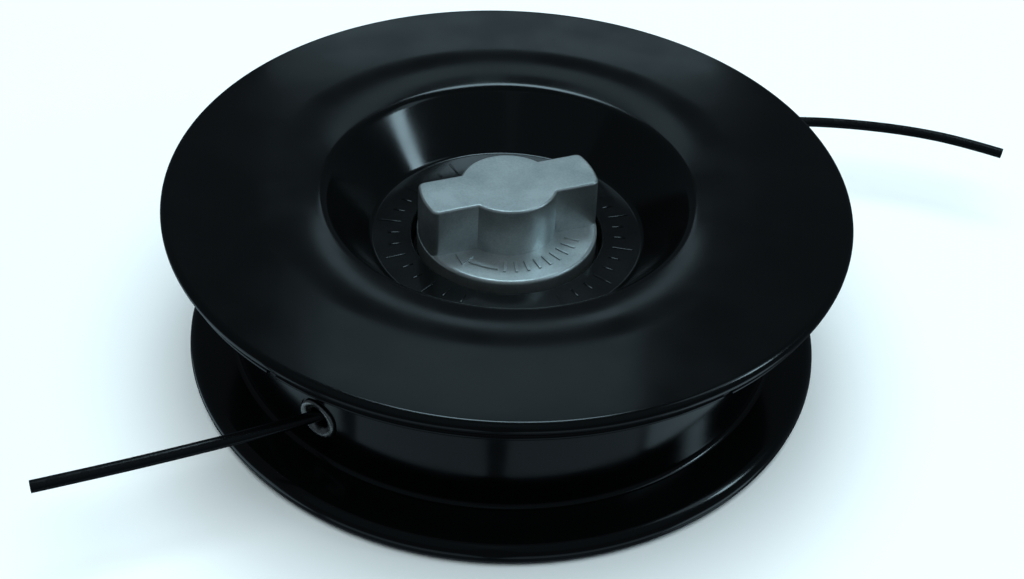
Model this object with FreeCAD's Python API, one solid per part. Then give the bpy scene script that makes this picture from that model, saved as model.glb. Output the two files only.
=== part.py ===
import FreeCAD, Part
import math
import os

# Manual-feed line head for a string trimmer, in millimetres.
# The origin is the centre of the underside; +Z runs along the head's axis, up to the bowl and the knob.

os.makedirs("parts", exist_ok=True)
Vector = FreeCAD.Vector
up = Vector(0, 0, 1)

# clearances
running_fit = 0.06         # radial, between a shaft and the hole it turns in
push_fit = 0.05            # radial or per side, between pieces that sit in each other
face_gap = 0.2             # axial, between faces that turn on each other
free_gap = 0.3             # between pieces that only pass each other
cover_gap = 0.4            # axial, between the cover and the housing's upper flange
root_overlap = 1.0         # how far a rib, tooth or lug reaches into the piece that it stands on

# fillets that several pieces share
edge_fillet = 0.8
fine_fillet = 0.5
corner_fillet = 1.5

# driving sizes of the head
head_height = 40.0
cover_radius = 70.0
upper_flange_step = 1.1    # how far each flange stays inside the edge above it
lower_flange_step = 1.1
groove_depth = 10.7        # from the upper flange's rim in to the drum
drum_wall = 3.2

# housing
lower_flange_edge = 5.0    # thickness at its rounded rim
lower_flange_root = 6.2    # height of its top where the drum starts
upper_flange_edge = 1.5
upper_flange_taper = 0.4   # how much thicker it is at the drum
rim_flat = 0.05            # height of the flat left between a rounded rim's two arcs
drum_fillet = 2.6
floor_thickness = 3.0
floor_top = 6.0
foot_step = 0.5            # how far the foot's inner wall stands outside the drum's
foot_fillet = 0.6
rib_count = 12
rib_thickness = 1.8
rib_recess = 0.8           # how far the ribs stay above the surface the head stands on
hub_radius = 17.0
hub_recess = 0.6
hub_top = 9.2
dog_count = 12
dog_inset = 7.0            # from the drum's inner wall in to the teeth
dog_length = 8.0
dog_height = 2.4
dog_sweep = 12.5           # degrees
dog_side_gap = 0.6         # degrees, each side of a tooth
rim_notch_width = 2.2
rim_notch_depth = 0.9
rim_notch_azimuths = (-36.0, 36.0, 144.0, 216.0)

# eyelets, measured along and about their own axis
eyelet_azimuths = {"front": -36.0, "rear": 144.0}
eyelet_rise = 0.1          # of an eyelet's axis above the divider's underside
eyelet_bore_radius = 2.2
eyelet_land = 1.2
eyelet_mouth_radius = 3.8
eyelet_mouth_depth = 1.6
eyelet_tail_radius = 3.2
eyelet_tail_depth = 1.8
eyelet_sleeve_radius = 3.6
eyelet_lip_radius = 4.25
eyelet_lip_thickness = 1.0
eyelet_lip_proud = 0.6
eyelet_rebate = 0.35       # radial gap round the lip
eyelet_throat_fillet = 0.3
eyelet_lip_fillet = 0.22
eyelet_edge_fillet = 0.12

# cover
cover_edge = 3.0
cover_wall = 2.8
cover_edge_fillet = 1.3
cover_lip_fillet = 0.4      # where the cover locates in other pieces
bowl_depth = 13.3
bowl_floor_width = 8.55    # of the ring round the knob's well
bowl_wall_slope = 52.0     # degrees from level
bowl_edge_fillet = 3.5     # between the wall and the shoulder
shoulder_width = 8.046     # where the top falls gently towards the bowl
shoulder_slope = 12.0      # degrees from level
shoulder_fillet = 60.0
well_gap = 1.15            # radial, round the knob's disc
skirt_depth = 5.5
skirt_wall = 2.4
skirt_side_gap = 0.6
lug_count = 4
lug_sweep = 16.0           # degrees
lug_side_gap = 0.5         # degrees
lug_depth = 2.2

# arbor
arbor_head_flats = 22.0
arbor_head_recess = 1.2
arbor_head_height = 5.0
arbor_corner_rise = 1.5    # how far up its head the turned corners reach
arbor_shaft_recess = 0.3   # how far its shaft stays below the spool's web
arbor_radius = 8.0
stud_radius = 5.0          # outside of the left-hand M10 thread that the knob runs on
stud_length = 15.2
drive_bore_radius = 4.32   # inside of the left-hand M10 thread for the gearbox shaft
drive_bore_depth = 17.0
drive_bore_chamfer = 0.8
drill_point = 1.2          # depth of the cone at the bore's end
clip_groove_depth = 0.6
clip_thickness = 1.1
clip_width = 2.55
clip_ear_height = 1.2
clip_ear_sweep = 18.0      # degrees
clip_opening = 40.0        # degrees

# spool
barrel_wall = 2.15
spring_pocket_radius = 18.6
spool_web = 2.65
spool_sleeve_wall = 2.34
spool_sleeve_gap = 0.6     # between the bearing sleeve and the retaining ring
spool_flange_thickness = 2.0
spool_flange_clearance = 1.5
spool_tooth_tip_gap = 0.5
spool_dog_gap = 0.4        # between the spool's lower flange and the housing's teeth
divider_thickness = 1.8

# spring, washers and travel
thread_pitch = 1.25
knob_turns = 3
spring_radius = 14.2
spring_wire = 1.6
spring_pitch = 2.074
spring_coil_share = 4      # the coils end on a quarter turn
spring_steps = 12          # short runs in each coil
spring_end_gap = 0.03
spring_washer_thickness = 1.05
spring_washer_radius = 17.8
thrust_washer_thickness = 0.95
thrust_washer_radius = 11.5
washer_bore_gap = 0.4

# knob
knob_radius = 18.9
knob_disc_proud = 1.7      # how far its disc stands above the bowl's floor
knob_top_recess = 0.7      # how far its top stays below the top of the cover
knob_bar_half_width = 5.55
knob_bar_inset = 0.5       # from the disc's edge in to the ends of the wings
knob_boss_radius = 10.2
knob_roof = 2.1
knob_edge = 0.7
knob_angle = 21.7          # degrees, the wings from +X
knob_relief_depth = 2.2
knob_relief_inner = 12.5
knob_relief_outer = 16.6
stud_room_gap = 0.5        # round the stud, above the insert
insert_flats = 14.0
insert_height = 11.0
insert_chamfer = 0.9

# cutting line
line_diameter = 2.4
winding_layers = 3
winding_gap = 0.15         # between the wound line and the barrel
winding_drop_gap = 0.3     # between the lower winding and the flange that it lies on
winding_top_gap = 0.4      # between the lower winding and the divider
winding_divider_gap = 0.5  # between the divider and the upper winding
winding_cover_gap = 0.5    # between the upper winding and the bowl's floor
lead_straight = 16.0       # straight run of the line just inside each eyelet

# each free end's points, from the centre of its eyelet
tail_steps = {
    "front": [(0, 0, 0), (-7.1, -3.6, 0), (-17.1, -8.2, 0), (-28.2, -12.9, 0),
              (-39.3, -17.4, 0), (-50.0, -21.5, 0)],
    "rear": [(0, 0, 0), (6.5, 5.5, 0), (15.7, 11.5, 0), (27.5, 15.6, 0), (40.4, 17.0, 0),
             (53.4, 16.5, 0), (65.8, 14.7, 0), (77.3, 11.2, 0), (86.2, 6.7, 0)],
}

# places that follow from the sizes above
upper_flange_radius = cover_radius - upper_flange_step
lower_flange_radius = upper_flange_radius - lower_flange_step
drum_radius = upper_flange_radius - groove_depth
cover_underside = head_height - cover_edge
upper_flange_top = cover_underside - cover_gap
drum_inner_radius = drum_radius - drum_wall
foot_inner_radius = drum_inner_radius + foot_step
dog_outer_radius = drum_inner_radius - dog_inset
dog_inner_radius = dog_outer_radius - dog_length
well_radius = knob_radius + well_gap
barrel_radius = well_radius + barrel_wall
bowl_floor_radius = well_radius + bowl_floor_width
knob_bar_end_radius = knob_radius - knob_bar_inset
clip_seat_radius = arbor_radius - clip_groove_depth + push_fit
clip_radius = clip_seat_radius + clip_width
clip_ear_radius = clip_radius + clip_ear_height
clip_top = hub_top + push_fit + clip_thickness
bowl_floor = head_height - bowl_depth
bowl_floor_underside = bowl_floor - cover_wall
arbor_head_top = arbor_head_recess + arbor_head_height
web_top = bowl_floor_underside - lug_depth - 0.5 * face_gap
web_underside = web_top - spool_web
arbor_shaft_top = web_top - arbor_shaft_recess
travel = thread_pitch * knob_turns
thrust_washer_bottom = web_top + face_gap
knob_underside = thrust_washer_bottom + thrust_washer_thickness + face_gap
knob_disc_top = bowl_floor + knob_disc_proud
knob_top = head_height - knob_top_recess
spring_washer_bottom = web_underside - free_gap - spring_washer_thickness
dog_top = floor_top + dog_height
spool_flange_bottom = dog_top + spool_dog_gap
spool_flange_top = spool_flange_bottom + spool_flange_thickness
spool_flange_radius = drum_inner_radius - spool_flange_clearance
spool_bore = arbor_radius + running_fit
winding_inner_radius = barrel_radius + winding_gap
winding_outer_radius = winding_inner_radius + winding_layers * line_diameter
winding_gaps = winding_drop_gap + winding_top_gap + winding_divider_gap + winding_cover_gap
winding_room = (bowl_floor_underside - spool_flange_top - divider_thickness - winding_gaps) / 2
winding_rows = math.floor(winding_room / line_diameter + 1e-6)
divider_height = spool_flange_top + winding_drop_gap + winding_room + winding_top_gap
divider_top = divider_height + divider_thickness
eyelet_height = divider_height + eyelet_rise
lead_tangent_radius = winding_outer_radius + free_gap + line_diameter / 2
eyelet_outer_end = drum_radius + eyelet_lip_proud
eyelet_centre_radius = eyelet_outer_end - eyelet_mouth_depth - eyelet_land / 2


def corner_arc(before, corner, after, radius):
    """The arc that rounds a corner between two straight runs."""
    back = (before - corner).normalize()
    ahead = (after - corner).normalize()
    half = back.getAngle(ahead) / 2
    trim = radius / math.tan(half)
    centre = corner + (back + ahead).normalize() * (radius / math.sin(half))
    middle = centre + (corner - centre).normalize() * radius
    return corner + back * trim, middle, corner + ahead * trim


def rounded_wire(points, radii, closed):
    """Straight runs through the points, with each corner rounded to its radius (0 leaves it sharp)."""
    last = len(points) - 1
    entries, leaves, edges = [], [], []
    for index, corner in enumerate(points):
        if radii[index] == 0 or (not closed and index in (0, last)):
            entries.append(corner)
            leaves.append(corner)
            edges.append(None)
            continue
        after = points[0] if index == last else points[index + 1]
        entry, middle, leave = corner_arc(points[index - 1], corner, after, radii[index])
        entries.append(entry)
        leaves.append(leave)
        edges.append(Part.Arc(entry, middle, leave).toShape())
    path = []
    for index in range(len(points)):
        if edges[index]:
            path.append(edges[index])
        following = 0 if index == last else index + 1
        if (closed or index < last) and leaves[index].distanceToPoint(entries[following]) > 1e-6:
            path.append(Part.LineSegment(leaves[index], entries[following]).toShape())
    return Part.Wire(path)


def turned(outline):
    """A solid of revolution about Z from corners given as radius, height and, where rounded, a fillet."""
    points = [Vector(corner[0], 0, corner[1]) for corner in outline]
    radii = [corner[2] if len(corner) > 2 else 0 for corner in outline]
    face = Part.Face(rounded_wire(points, radii, closed=True))
    return face.revolve(Vector(0, 0, 0), up, 360)


def ring_sector(inner, outer, bottom, top, middle_angle, sweep):
    base = Vector(0, 0, bottom)
    sector = Part.makeCylinder(outer, top - bottom, base, up, sweep)
    sector = sector.cut(Part.makeCylinder(inner, top - bottom, base, up))
    return sector.rotate(Vector(0, 0, 0), up, middle_angle - sweep / 2)


def ring_of_sectors(count, first_angle, inner, outer, bottom, top, sweep):
    return [ring_sector(inner, outer, bottom, top, first_angle + 360 / count * index, sweep)
            for index in range(count)]


def washer(inner, outer, bottom, thickness):
    base = Vector(0, 0, bottom)
    disc = Part.makeCylinder(outer, thickness, base, up)
    return disc.cut(Part.makeCylinder(inner, thickness, base, up))


def hexagon(flats, bottom, height):
    corner = flats / math.sqrt(3)
    angles = [math.radians(60 * index) for index in range(7)]
    points = [Vector(corner * math.cos(angle), corner * math.sin(angle), bottom) for angle in angles]
    return Part.Face(Part.makePolygon(points)).extrude(Vector(0, 0, height))


def azimuth_point(radius, azimuth, height):
    """A point at an angle from -Y, positive towards +X."""
    angle = math.radians(azimuth)
    return Vector(radius * math.sin(angle), -radius * math.cos(angle), height)


def along_azimuth(shape, azimuth, height):
    """Lays a shape made about Z along a level line out of the head's axis."""
    shape = shape.rotate(Vector(0, 0, 0), Vector(1, 0, 0), 90)
    shape = shape.rotate(Vector(0, 0, 0), up, azimuth)
    return shape.translate(Vector(0, 0, height))


def save(shape, node):
    shape = shape.removeSplitter()
    if not shape.isValid() or not shape.Solids:
        raise ValueError(node + " is not a valid solid")
    shape.exportStep("parts/" + node + ".step")
    print(node, "solids", len(shape.Solids), "volume", round(shape.Volume, 1))


def housing():
    hub_bore = arbor_radius + push_fit
    floor_underside = floor_top - floor_thickness
    upper_flange_underside = upper_flange_top - upper_flange_edge
    rim_fillet = lower_flange_edge / 2
    flange_edge_fillet = (upper_flange_edge - rim_flat * 2) / 2
    body = turned([
        (hub_bore, hub_recess),
        (hub_radius, hub_recess, edge_fillet),
        (hub_radius, floor_underside, edge_fillet),
        (foot_inner_radius, floor_underside, corner_fillet),
        (foot_inner_radius, 0, foot_fillet),
        (lower_flange_radius, 0, rim_fillet),
        (lower_flange_radius, lower_flange_edge, rim_fillet - rim_flat),
        (drum_radius, lower_flange_root, drum_fillet),
        (drum_radius, upper_flange_underside - upper_flange_taper, drum_fillet),
        (upper_flange_radius, upper_flange_underside, flange_edge_fillet),
        (upper_flange_radius, upper_flange_top, flange_edge_fillet),
        (drum_inner_radius, upper_flange_top, edge_fillet),
        (drum_inner_radius, floor_top, corner_fillet),
        (hub_radius, floor_top, edge_fillet),
        (hub_radius, hub_top, edge_fillet),
        (hub_bore, hub_top),
    ])
    rib_length = foot_inner_radius - hub_radius + 2 * root_overlap
    rib = Part.makeBox(rib_length, rib_thickness, floor_underside - rib_recess + root_overlap,
                       Vector(hub_radius - root_overlap, -rib_thickness / 2, rib_recess))
    ribs = [rib.copy().rotate(Vector(0, 0, 0), up, 360 / rib_count * index) for index in range(rib_count)]
    dogs = ring_of_sectors(dog_count, 0, dog_inner_radius, dog_outer_radius, floor_top - root_overlap,
                           dog_top, dog_sweep)
    body = body.fuse(ribs + dogs)
    cuts = [hexagon(arbor_head_flats + 2 * push_fit, 0, arbor_head_top)]
    hole_start = drum_inner_radius - drum_wall
    hole = Part.makeCylinder(eyelet_sleeve_radius + push_fit, drum_wall * 3, Vector(0, 0, hole_start))
    rebate_floor = eyelet_outer_end - eyelet_lip_thickness - push_fit
    rebate = Part.makeCylinder(eyelet_lip_radius + eyelet_rebate, drum_wall, Vector(0, 0, rebate_floor))
    for azimuth in eyelet_azimuths.values():
        cuts.append(along_azimuth(hole.fuse(rebate), azimuth, eyelet_height))
    notch = Part.makeBox(rim_notch_width, rim_notch_depth * 2, upper_flange_edge * 2,
                         Vector(-rim_notch_width / 2, -upper_flange_radius - rim_notch_depth,
                                upper_flange_underside - upper_flange_edge / 2))
    cuts += [notch.copy().rotate(Vector(0, 0, 0), up, azimuth) for azimuth in rim_notch_azimuths]
    return body.cut(cuts)


def eyelet(azimuth):
    land_start = eyelet_centre_radius - eyelet_land / 2
    land_end = eyelet_centre_radius + eyelet_land / 2
    inner_end = land_start - eyelet_tail_depth
    lip_start = eyelet_outer_end - eyelet_lip_thickness
    body = turned([
        (eyelet_tail_radius, inner_end, eyelet_edge_fillet),
        (eyelet_bore_radius, land_start, eyelet_throat_fillet),
        (eyelet_bore_radius, land_end, eyelet_throat_fillet),
        (eyelet_mouth_radius, eyelet_outer_end, eyelet_edge_fillet),
        (eyelet_lip_radius, eyelet_outer_end, eyelet_lip_fillet),
        (eyelet_lip_radius, lip_start, eyelet_edge_fillet),
        (eyelet_sleeve_radius, lip_start),
        (eyelet_sleeve_radius, inner_end, eyelet_edge_fillet),
    ])
    return along_azimuth(body, azimuth, eyelet_height)


def arbor():
    head = hexagon(arbor_head_flats, arbor_head_recess, arbor_head_height)
    groove_top = clip_top + push_fit
    stud_top = arbor_shaft_top + stud_length
    shaft = turned([
        (0, arbor_head_top - fine_fillet),
        (arbor_radius, arbor_head_top - fine_fillet),
        (arbor_radius, hub_top),
        (arbor_radius - clip_groove_depth, hub_top),
        (arbor_radius - clip_groove_depth, groove_top),
        (arbor_radius, groove_top),
        (arbor_radius, arbor_shaft_top, fine_fillet),
        (stud_radius, arbor_shaft_top, fine_fillet),
        (stud_radius, stud_top, edge_fillet),
        (0, stud_top),
    ])
    bore_end = arbor_head_recess + drive_bore_depth
    bore = turned([
        (0, 0),
        (drive_bore_radius + drive_bore_chamfer, 0),
        (drive_bore_radius + drive_bore_chamfer, arbor_head_recess),
        (drive_bore_radius, arbor_head_recess + drive_bore_chamfer),
        (drive_bore_radius, bore_end),
        (0, bore_end + drill_point),
    ])
    corner_trim = turned([
        (0, 0),
        (arbor_head_flats / 2, arbor_head_recess),
        (arbor_head_flats / math.sqrt(3), arbor_head_recess + arbor_corner_rise),
        (arbor_head_flats, arbor_head_top),
        (0, arbor_head_top),
    ])
    return head.common(corner_trim).fuse(shaft).cut(bore)


def arbor_clip():
    bottom = clip_top - clip_thickness
    opening_angle = 270
    ring = ring_sector(clip_seat_radius, clip_radius, bottom, clip_top,
                       opening_angle - 180, 360 - clip_opening)
    ear_offset = (clip_opening + clip_ear_sweep) / 2
    ear_angles = [opening_angle - ear_offset, opening_angle + ear_offset]
    ears = [ring_sector(clip_seat_radius, clip_ear_radius, bottom, clip_top, angle, clip_ear_sweep)
            for angle in ear_angles]
    return ring.fuse(ears)


def spool():
    sleeve_radius = spool_bore + spool_sleeve_wall
    sleeve_bottom = clip_top + spool_sleeve_gap
    body = turned([
        (spool_bore, sleeve_bottom),
        (sleeve_radius, sleeve_bottom, fine_fillet),
        (sleeve_radius, web_underside, fine_fillet),
        (spring_pocket_radius, web_underside, edge_fillet),
        (spring_pocket_radius, spool_flange_bottom),
        (spool_flange_radius, spool_flange_bottom, edge_fillet),
        (spool_flange_radius, spool_flange_top, edge_fillet),
        (barrel_radius, spool_flange_top),
        (barrel_radius, divider_height),
        (winding_outer_radius, divider_height, fine_fillet),
        (winding_outer_radius, divider_top, fine_fillet),
        (barrel_radius, divider_top),
        (barrel_radius, bowl_floor_underside),
        (well_radius, bowl_floor_underside),
        (well_radius, web_top, fine_fillet),
        (spool_bore, web_top),
    ])
    pitch = 360 / dog_count
    tooth_sweep = pitch - dog_sweep - 2 * dog_side_gap
    teeth = ring_of_sectors(dog_count, pitch / 2, dog_inner_radius + free_gap, dog_outer_radius - free_gap,
                            floor_top + spool_tooth_tip_gap, spool_flange_bottom + root_overlap, tooth_sweep)
    notches = ring_of_sectors(lug_count, 45, well_radius - root_overlap, barrel_radius + root_overlap,
                              bowl_floor_underside - lug_depth, bowl_floor_underside + root_overlap,
                              lug_sweep + 2 * lug_side_gap)
    return body.fuse(teeth).cut(notches)


def meeting_point(radius_one, height_one, slope_one, radius_two, height_two, slope_two):
    """Where two sloping lines of a profile cross; slopes are in degrees, rising outwards."""
    rise_one = math.tan(math.radians(slope_one))
    rise_two = math.tan(math.radians(slope_two))
    step = height_two - height_one + rise_one * radius_one - rise_two * radius_two
    radius = step / (rise_one - rise_two)
    return radius, height_one + rise_one * (radius - radius_one)


def cover():
    slope = math.radians(bowl_wall_slope)
    fall = shoulder_width * math.tan(math.radians(shoulder_slope))
    edge_radius = bowl_floor_radius + (bowl_depth - fall) / math.tan(slope)
    shoulder_radius = edge_radius + shoulder_width
    outer_radius = bowl_floor_radius + cover_wall * math.sin(slope)
    outer_height = bowl_floor - cover_wall * math.cos(slope)
    flange_underside = head_height - cover_wall
    half_shoulder = math.radians(shoulder_slope) / 2
    inner_shoulder_radius = shoulder_radius + cover_wall * math.tan(half_shoulder)
    inner_edge = meeting_point(inner_shoulder_radius, flange_underside, shoulder_slope,
                               outer_radius, outer_height, bowl_wall_slope)
    floor_corner = meeting_point(0, bowl_floor_underside, 0, outer_radius, outer_height, bowl_wall_slope)
    skirt_radius = drum_inner_radius - skirt_side_gap
    body = turned([
        (well_radius, bowl_floor, cover_lip_fillet),
        (bowl_floor_radius, bowl_floor, corner_fillet),
        (edge_radius, head_height - fall, bowl_edge_fillet),
        (shoulder_radius, head_height, shoulder_fillet),
        (cover_radius, head_height, cover_edge_fillet),
        (cover_radius, cover_underside, corner_fillet),
        (skirt_radius, cover_underside, cover_lip_fillet),
        (skirt_radius, cover_underside - skirt_depth, fine_fillet),
        (skirt_radius - skirt_wall, cover_underside - skirt_depth, fine_fillet),
        (skirt_radius - skirt_wall, flange_underside),
        (inner_shoulder_radius, flange_underside),
        (inner_edge[0], inner_edge[1], bowl_edge_fillet / 2),
        (floor_corner[0], floor_corner[1], corner_fillet),
        (well_radius, bowl_floor_underside),
    ])
    lugs = ring_of_sectors(lug_count, 45, well_radius + push_fit, barrel_radius - push_fit,
                           bowl_floor_underside - lug_depth + push_fit, bowl_floor_underside + root_overlap,
                           lug_sweep)
    return body.fuse(lugs)


def winding(bottom):
    """The outer shape of the wound line: rows of turns show as rounded ridges."""
    ridge = line_diameter / 2
    outer = winding_outer_radius - ridge
    top = bottom + winding_rows * line_diameter
    inner_bottom, outer_bottom = Vector(winding_inner_radius, 0, bottom), Vector(outer, 0, bottom)
    inner_top, outer_top = Vector(winding_inner_radius, 0, top), Vector(outer, 0, top)
    edges = [Part.LineSegment(inner_bottom, outer_bottom).toShape()]
    for row in range(winding_rows):
        low = bottom + row * line_diameter
        crest = Vector(winding_outer_radius, 0, low + ridge)
        edges.append(Part.Arc(Vector(outer, 0, low), crest, Vector(outer, 0, low + line_diameter)).toShape())
    edges.append(Part.LineSegment(outer_top, inner_top).toShape())
    edges.append(Part.LineSegment(inner_top, inner_bottom).toShape())
    return Part.Face(Part.Wire(edges)).revolve(Vector(0, 0, 0), up, 360)


def spring():
    """An open coil: points along a helix, with the corners between its short runs rounded into arcs."""
    low = hub_top + spring_wire / 2 + spring_end_gap
    height = spring_washer_bottom - hub_top - spring_wire - 2 * spring_end_gap
    coils = round(height / spring_pitch * spring_coil_share) / spring_coil_share
    steps = round(coils * spring_steps)
    step_angle = 2 * math.pi / spring_steps
    corner_radius = spring_radius / math.cos(step_angle / 2)
    points = [Vector(corner_radius * math.cos(step_angle * step), corner_radius * math.sin(step_angle * step),
                     low + height * step / steps) for step in range(steps + 1)]
    run = points[1] - points[0]
    turn = run.getAngle(points[2] - points[1])
    bend = 0.49 * run.Length / math.tan(turn / 2)    # just under half of each run is left to each arc
    path = rounded_wire(points, [bend] * len(points), closed=False)
    section = Part.Wire(Part.makeCircle(spring_wire / 2, points[0], run))
    return path.makePipeShell([section], True, True)


def knob():
    disc = turned([
        (0, knob_underside),
        (knob_radius, knob_underside, fine_fillet),
        (knob_radius, knob_disc_top, knob_edge),
        (0, knob_disc_top),
    ])
    low = knob_disc_top - root_overlap
    boss = Part.makeCylinder(knob_boss_radius, knob_top - low, Vector(0, 0, low))
    bar = Part.makeBox(2 * knob_radius, 2 * knob_bar_half_width, knob_top - low,
                       Vector(-knob_radius, -knob_bar_half_width, low))
    bar = bar.common(Part.makeCylinder(knob_bar_end_radius, knob_top - low, Vector(0, 0, low)))
    grip = boss.fuse(bar).removeSplitter()
    rounded = [edge for edge in grip.Edges if edge.BoundBox.ZMin > low + root_overlap / 2
               or edge.BoundBox.ZLength > root_overlap]
    grip = grip.makeFillet(knob_edge, rounded)
    body = disc.fuse(grip)
    socket = hexagon(insert_flats, knob_underside, insert_height + 2 * push_fit)
    base = Vector(0, 0, knob_underside)
    stud_room = Part.makeCylinder(stud_radius + stud_room_gap, knob_top - knob_roof - knob_underside, base)
    relief = washer(knob_relief_inner, knob_relief_outer, knob_underside, knob_relief_depth)
    return body.cut([socket, stud_room, relief]).rotate(Vector(0, 0, 0), up, knob_angle)


def knob_insert():
    bottom = knob_underside + push_fit
    body = hexagon(insert_flats - 2 * push_fit, bottom, insert_height)
    bore = Part.makeCylinder(stud_radius + running_fit, insert_height + 2 * root_overlap,
                             Vector(0, 0, bottom - root_overlap))
    chamfer = Part.makeCone(stud_radius + insert_chamfer, stud_radius, insert_chamfer, Vector(0, 0, bottom))
    return body.cut([bore, chamfer]).rotate(Vector(0, 0, 0), up, knob_angle)


def line_tube(points, node):
    """A length of line along straight runs that are joined by arcs as large as the runs allow."""
    runs = [points[index + 1] - points[index] for index in range(len(points) - 1)]
    radii = [0] * len(points)
    for index in range(1, len(points) - 1):
        shorter = min(runs[index - 1].Length, runs[index].Length)
        turn = runs[index - 1].getAngle(runs[index])
        radii[index] = 0.45 * shorter / math.tan(turn / 2)
    path = rounded_wire(points, radii, closed=False)
    section = Part.Wire(Part.makeCircle(line_diameter / 2, points[0], runs[0]))
    tube = path.makePipeShell([section], True, True)
    expected = math.pi * line_diameter ** 2 / 4 * path.Length
    print(node, "length", round(path.Length, 1), "bend radii", [round(radius, 1) for radius in radii[1:-1]],
          "volume", round(tube.Volume, 1), "of", round(expected, 1))
    return tube


def line_pieces(side):
    """The line inside the drum, from the wound turns to the eyelet, and the free end outside."""
    centre = azimuth_point(eyelet_centre_radius, eyelet_azimuths[side], eyelet_height)
    tail = [centre + Vector(*step) for step in tail_steps[side]]
    heading = (tail[1] - tail[0]).normalize()
    bend = centre - heading * lead_straight
    bend_radius = math.hypot(bend.x, bend.y)
    angle = math.atan2(bend.y, bend.x) + math.acos(lead_tangent_radius / bend_radius)
    start = Vector(math.cos(angle), math.sin(angle), 0) * lead_tangent_radius + Vector(0, 0, eyelet_height)
    save(line_tube([start, bend, centre], "line_lead_" + side), "line_lead_" + side)
    save(line_tube(tail, "line_tail_" + side), "line_tail_" + side)


save(housing(), "housing")
save(cover(), "cover")
save(spool(), "spool")
save(winding(spool_flange_top + winding_drop_gap), "line_winding_lower")
save(winding(divider_top + winding_divider_gap), "line_winding_upper")
save(arbor(), "arbor")
save(arbor_clip(), "arbor_clip")
save(spring(), "release_spring")
spring_washer_bore = spool_bore + spool_sleeve_wall + free_gap
save(washer(spring_washer_bore, spring_washer_radius, spring_washer_bottom, spring_washer_thickness),
     "spring_washer")
thrust_washer_bore = stud_radius + washer_bore_gap
save(washer(thrust_washer_bore, thrust_washer_radius, thrust_washer_bottom, thrust_washer_thickness),
     "thrust_washer")
save(knob(), "knob")
save(knob_insert(), "knob_insert")
for side, azimuth in eyelet_azimuths.items():
    save(eyelet(azimuth), "eyelet_" + side)
    line_pieces(side)
print("release travel", travel)
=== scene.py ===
import bmesh
import bpy
import math
from mathutils import Matrix, Vector


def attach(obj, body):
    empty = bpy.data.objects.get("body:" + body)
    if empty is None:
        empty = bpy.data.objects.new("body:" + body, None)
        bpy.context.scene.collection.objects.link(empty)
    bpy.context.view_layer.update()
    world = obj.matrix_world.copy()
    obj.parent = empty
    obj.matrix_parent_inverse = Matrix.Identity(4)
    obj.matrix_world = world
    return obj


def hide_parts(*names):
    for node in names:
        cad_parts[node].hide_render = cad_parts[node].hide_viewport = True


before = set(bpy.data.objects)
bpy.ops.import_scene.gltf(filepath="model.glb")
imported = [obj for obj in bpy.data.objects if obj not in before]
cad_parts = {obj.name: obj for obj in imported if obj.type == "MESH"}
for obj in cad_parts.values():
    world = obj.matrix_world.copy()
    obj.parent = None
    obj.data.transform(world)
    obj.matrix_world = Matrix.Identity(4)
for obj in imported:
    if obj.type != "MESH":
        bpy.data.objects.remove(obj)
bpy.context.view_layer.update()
mm = 0.001
upAxis = Vector((0, 0, 1))
print("stage: frame loaded")


def azimuthPlace(radius, azimuth, height):
    # millimetres; the azimuth runs from -Y towards +X, in degrees
    angle = math.radians(azimuth)
    return Vector((radius * math.sin(angle), -radius * math.cos(angle), height)) * mm


# camera

viewpoint = {
    "aim": (0, 0, 40),          # mm, the centre of the cover's top
    "distance": 294.96,         # mm
    "height": 36.04,            # degrees above level, seen from the aim
    "pitch": 40.39,             # degrees
    "yaw": 0.41,
    "roll": 2.85,
    "lens": 50.56,              # mm
    "sensor": 36,               # mm
    "nearClip": 0.01,           # metres
}


def placeCamera(values):
    pitch, yaw, roll, height = [math.radians(values[key]) for key in ("pitch", "yaw", "roll", "height")]
    ahead = Vector((math.sin(yaw) * math.cos(pitch), math.cos(yaw) * math.cos(pitch), -math.sin(pitch)))
    right = ahead.cross(upAxis).normalized()
    up = right.cross(ahead)
    turn = Matrix((right, up, -ahead)).transposed() @ Matrix.Rotation(roll, 3, "Z")
    step = Vector((0, -math.cos(height), math.sin(height))) * values["distance"]
    data = bpy.data.cameras.new("studioCamera")
    data.lens = values["lens"]
    data.sensor_width = values["sensor"]
    data.clip_start = values["nearClip"]
    camera = bpy.data.objects.new("studioCamera", data)
    camera.matrix_world = Matrix.Translation((Vector(values["aim"]) + step) * mm) @ turn.to_4x4()
    bpy.context.scene.collection.objects.link(camera)
    bpy.context.scene.camera = camera


placeCamera(viewpoint)
print("stage: camera")


# materials

def linear(hexColour):
    channels = [int(hexColour[index:index + 2], 16) / 255 for index in (0, 2, 4)]
    return (*[c / 12.92 if c < 0.04045 else ((c + 0.055) / 1.055) ** 2.4 for c in channels], 1)


def addNode(tree, kind, settings=None, links=None):
    node = tree.nodes.new(kind)
    for key, value in (settings or {}).items():
        if isinstance(key, int) or key in node.inputs:
            node.inputs[key].default_value = value
        else:
            setattr(node, key, value)
    for key, source in (links or {}).items():
        tree.links.new(source, node.inputs[key])
    return node


def startMaterial(name, shader):
    material = bpy.data.materials.new(name)
    material.use_nodes = True
    tree = material.node_tree
    tree.nodes.clear()
    surface = addNode(tree, "ShaderNodeBsdfPrincipled", shader)
    addNode(tree, "ShaderNodeOutputMaterial", links={"Surface": surface.outputs["BSDF"]})
    place = addNode(tree, "ShaderNodeTexCoord").outputs["Object"]
    return material, tree, surface, place


def perMetre(sizeMm):
    # noise scale whose grains are about this many millimetres apart
    return 1 / (sizeMm * mm)


noiseLow, noiseHigh = 0.3, 0.7      # most of a noise lies between these


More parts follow.
